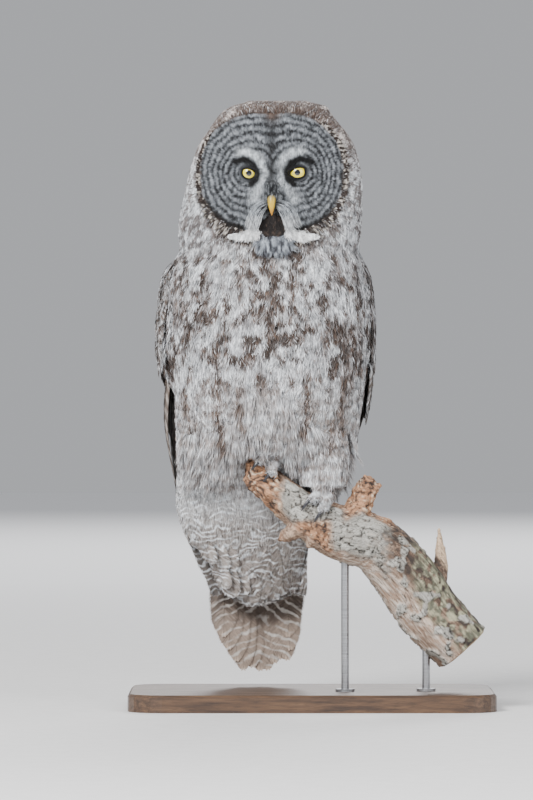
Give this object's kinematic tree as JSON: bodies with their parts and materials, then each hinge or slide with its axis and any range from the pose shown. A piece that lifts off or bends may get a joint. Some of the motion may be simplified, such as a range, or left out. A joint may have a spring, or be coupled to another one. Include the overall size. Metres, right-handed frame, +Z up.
{
  "type": "great grey owl on a perch",
  "caption": "Life-size great grey owl, upright and facing ahead, gripping a cut length of weathered branch held by rods on a flat display base.",
  "frame": {"origin": "centre of the display base's underside, on the floor", "axes": "+Z up; the owl faces -Y, so its own left side is at +X and its back at +Y"},
  "size_m": [0.42, 0.25, 0.699],
  "materials": {
    "plumage": "soft pale grey feathers with brown streaks and fine bars, matt",
    "face": "grey disc feathers with fine dark rings, matt",
    "flight": "brown and grey barred flight feathers, satin along the shafts",
    "eye": "bright yellow iris round a black pupil, polished",
    "bill": "yellow horn, smooth with a low shine",
    "claw": "blue-black horn, satin",
    "branch": "weathered dead wood with cracked grey bark plates, rough",
    "base": "dark stained board, satin",
    "rod": "brushed steel"
  },
  "bodies": {
    "root": {"head": "face", "neck": "plumage", "torso": "plumage", "vent": "plumage", "tail": "flight", "wing_right": "flight", "wing_left": "flight", "leg_right": "plumage", "leg_left": "plumage", "foot_right": "plumage", "foot_left": "plumage", "claw_right_1": "claw", "claw_right_2": "claw", "claw_right_3": "claw", "claw_right_4": "claw", "claw_left_1": "claw", "claw_left_2": "claw", "claw_left_3": "claw", "claw_left_4": "claw", "eye_right": "eye", "eye_left": "eye", "bill_upper": "bill", "bill_lower": "bill", "perch_branch": "branch", "stand_base": "base", "stand_rod_1": "rod", "stand_rod_2": "rod"}
  },
  "joints": []
}
